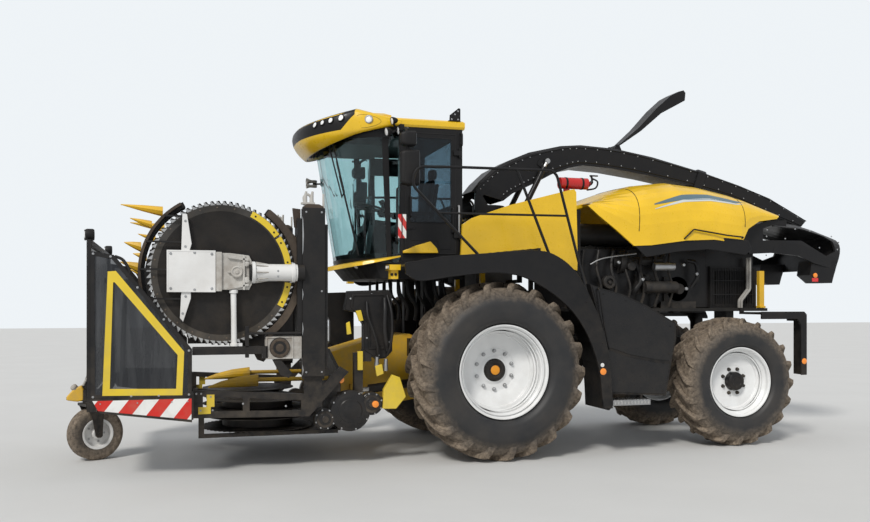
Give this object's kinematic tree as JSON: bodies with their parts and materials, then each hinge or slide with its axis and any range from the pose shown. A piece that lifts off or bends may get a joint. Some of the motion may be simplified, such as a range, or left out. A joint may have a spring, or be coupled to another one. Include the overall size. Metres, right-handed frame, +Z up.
{
  "type": "forage harvester",
  "caption": "Self-propelled forage harvester with hollow cab, curved discharge spout, raised rear hood and a folded row-independent maize header behind a transport guard on a caster wheel",
  "frame": {"origin": "centre of the bounding box's footprint, on the ground under the wheels, at rest", "axes": "+X to the machine's tail, +Y to its right side, +Z up; the header points to -X"},
  "size_m": [10.3796, 3.24, 4.8379],
  "materials": {
    "paint_yellow": "gloss enamel",
    "paint_black": "semi-gloss enamel",
    "paint_red": "gloss enamel",
    "rim_white": "gloss enamel",
    "black_plastic": "fine grain",
    "bare_steel": "ground rod",
    "worn_steel": "worn and dusty",
    "engine_iron": "painted casting",
    "tyre_rubber": "moulded tread",
    "seat_fabric": "woven cover",
    "guard_cloth": "coated sheet",
    "clear_glass": "tinted"
  },
  "bodies": {
    "chassis": {"chassis_frame": "paint_black", "rear_beam": "paint_black", "body_frame": "paint_yellow", "front_axle": "paint_black", "rear_axle": "paint_black", "engine": "engine_iron", "cooling_box": "black_plastic", "chopper_housing": "paint_black", "spout_turret": "paint_black", "side_tanks": "black_plastic", "front_fenders": "black_plastic", "rear_fenders": "black_plastic", "handrails": "paint_black", "side_panels": "paint_yellow", "extinguisher": "paint_red", "cab_base": "black_plastic", "cab_frame": "paint_black", "cab_roof": "paint_yellow", "cab_trim": "paint_yellow", "cab_glass": "clear_glass", "seat": "seat_fabric", "steering_column": "black_plastic", "mirrors": "black_plastic", "hood": "paint_yellow", "hood_tail": "black_plastic"},
    "door": {"cab_door": "paint_black", "door_glass": "clear_glass"},
    "header": {"feeder": "paint_yellow", "header_frame": "paint_black", "wing_frames": "paint_black", "dividers": "paint_yellow", "guard_frame": "paint_black", "guard_sheets": "guard_cloth", "drive_case": "paint_black"},
    "wing_rotor_left": {"rotor_wl": "worn_steel"},
    "wing_rotor_right": {"rotor_wr": "worn_steel"},
    "rotor_left": {"rotor_cl": "worn_steel"},
    "rotor_right": {"rotor_cr": "worn_steel"},
    "caster": {"caster_fork": "paint_black"},
    "caster_roller": {"caster_wheel": "tyre_rubber"},
    "spout_collar": {"spout_base": "paint_black"},
    "spout_boom": {"spout": "paint_black", "spout_tip": "paint_black"},
    "flap": {"spout_flap": "paint_black"},
    "spout_barrel": {"spout_barrels": "paint_black"},
    "spout_rod": {"spout_rods": "bare_steel"},
    "lift_barrel": {"lift_barrels": "paint_black"},
    "lift_rod": {"lift_rods": "bare_steel"},
    "track_rod": {"tie_rod": "bare_steel"},
    "steer_left": {"knuckle_l": "paint_black"},
    "steer_right": {"knuckle_r": "paint_black"},
    "wheel_fl": {"tyre_fl": "tyre_rubber", "rim_fl": "rim_white"},
    "wheel_fr": {"tyre_fr": "tyre_rubber", "rim_fr": "rim_white"},
    "wheel_rl": {"tyre_rl": "tyre_rubber", "rim_rl": "rim_white"},
    "wheel_rr": {"tyre_rr": "tyre_rubber", "rim_rr": "rim_white"}
  },
  "joints": [
    {"name": "header_lift", "type": "hinge", "parent": "chassis", "child": "header", "pos_m": [-1.06, 0, 1.35], "axis": [0, 1, 0], "range_deg": [0, 8]},
    {"name": "lift_barrel_turn", "type": "hinge", "parent": "chassis", "child": "lift_barrel", "pos_m": [-0.76, 0, 0.9], "axis": [0, 1, 0], "range_deg": [-0.5, 6.5]},
    {"name": "lift_rod_slide", "type": "slide", "parent": "lift_barrel", "child": "lift_rod", "axis": [-0.9935, 0, -0.1135], "range_m": [-0.005, 0.07]},
    {"name": "wheel_fl_spin", "type": "hinge", "parent": "chassis", "child": "wheel_fl", "pos_m": [-0.31, -1.22, 1.05], "axis": [0, 1, 0], "continuous": true},
    {"name": "wheel_fr_spin", "type": "hinge", "parent": "chassis", "child": "wheel_fr", "pos_m": [-0.31, 1.22, 1.05], "axis": [0, 1, 0], "continuous": true},
    {"name": "steer", "type": "hinge", "parent": "chassis", "child": "steer_left", "pos_m": [3.04, -0.62, 0.83], "axis": [0, 0, 1], "range_deg": [-30, 30]},
    {"name": "steer_follow", "type": "hinge", "parent": "chassis", "child": "steer_right", "pos_m": [3.04, 0.62, 0.83], "axis": [0, 0, 1], "range_deg": [-30.5, 30.5]},
    {"name": "track_rod_slide", "type": "slide", "parent": "chassis", "child": "track_rod", "axis": [0, 1, 0], "range_m": [-0.14, 0.14]},
    {"name": "wheel_rl_spin", "type": "hinge", "parent": "steer_left", "child": "wheel_rl", "pos_m": [3.04, -1.02, 0.83], "axis": [0, 1, 0], "continuous": true},
    {"name": "wheel_rr_spin", "type": "hinge", "parent": "steer_right", "child": "wheel_rr", "pos_m": [3.04, 1.02, 0.83], "axis": [0, 1, 0], "continuous": true},
    {"name": "caster_swivel", "type": "hinge", "parent": "header", "child": "caster", "pos_m": [-4.953, 0, 0.69], "axis": [0, 0, 1], "continuous": true},
    {"name": "caster_spin", "type": "hinge", "parent": "caster", "child": "caster_roller", "pos_m": [-4.8805, 0.03381, 0.31], "axis": [-0.4226, 0.9063, 0], "continuous": true},
    {"name": "wing_rotor_left_spin", "type": "hinge", "parent": "header", "child": "wing_rotor_left", "pos_m": [-3.49, -1.345, 2.174], "axis": [0, 1, 0], "continuous": true},
    {"name": "wing_rotor_right_spin", "type": "hinge", "parent": "header", "child": "wing_rotor_right", "pos_m": [-3.49, 1.345, 2.174], "axis": [0, 1, 0], "continuous": true},
    {"name": "rotor_left_spin", "type": "hinge", "parent": "header", "child": "rotor_left", "pos_m": [-3.05, -0.66, 0.43], "axis": [0, 0, 1], "continuous": true},
    {"name": "rotor_right_spin", "type": "hinge", "parent": "header", "child": "rotor_right", "pos_m": [-3.05, 0.66, 0.43], "axis": [0, 0, 1], "continuous": true},
    {"name": "spout_turn", "type": "hinge", "parent": "chassis", "child": "spout_collar", "pos_m": [0.04, 0, 2.96], "axis": [0, 0, 1], "range_deg": [-100, 100]},
    {"name": "spout_lift", "type": "hinge", "parent": "spout_collar", "child": "spout_boom", "pos_m": [-0.2, 0, 3.25], "axis": [0, -1, 0], "range_deg": [0, 35]},
    {"name": "spout_barrel_turn", "type": "hinge", "parent": "spout_collar", "child": "spout_barrel", "pos_m": [0.39, 0, 3.01], "axis": [0, -1, 0], "range_deg": [-0.5, 32]},
    {"name": "spout_rod_slide", "type": "slide", "parent": "spout_barrel", "child": "spout_rod", "axis": [0.4619, 0, 0.8869], "range_m": [-0.005, 0.385]},
    {"name": "flap_tilt", "type": "hinge", "parent": "spout_boom", "child": "flap", "pos_m": [1.89, 0, 4.01], "axis": [0, 1, 0], "range_deg": [-10, 35]},
    {"name": "door_open", "type": "hinge", "parent": "chassis", "child": "door", "pos_m": [-0.65, -0.904, 3.2], "axis": [0, 0, 1], "range_deg": [0, 55]}
  ],
  "couplings": [
    {"joint": "lift_barrel_turn", "follows": "header_lift", "ratio": 0.75},
    {"joint": "lift_rod_slide", "follows": "header_lift", "m_per_rad": 0.467},
    {"joint": "steer_follow", "follows": "steer", "ratio": 1},
    {"joint": "track_rod_slide", "follows": "steer", "m_per_rad": 0.26},
    {"joint": "spout_barrel_turn", "follows": "spout_lift", "ratio": 0.889},
    {"joint": "spout_rod_slide", "follows": "spout_lift", "m_per_rad": 0.6175}
  ]
}
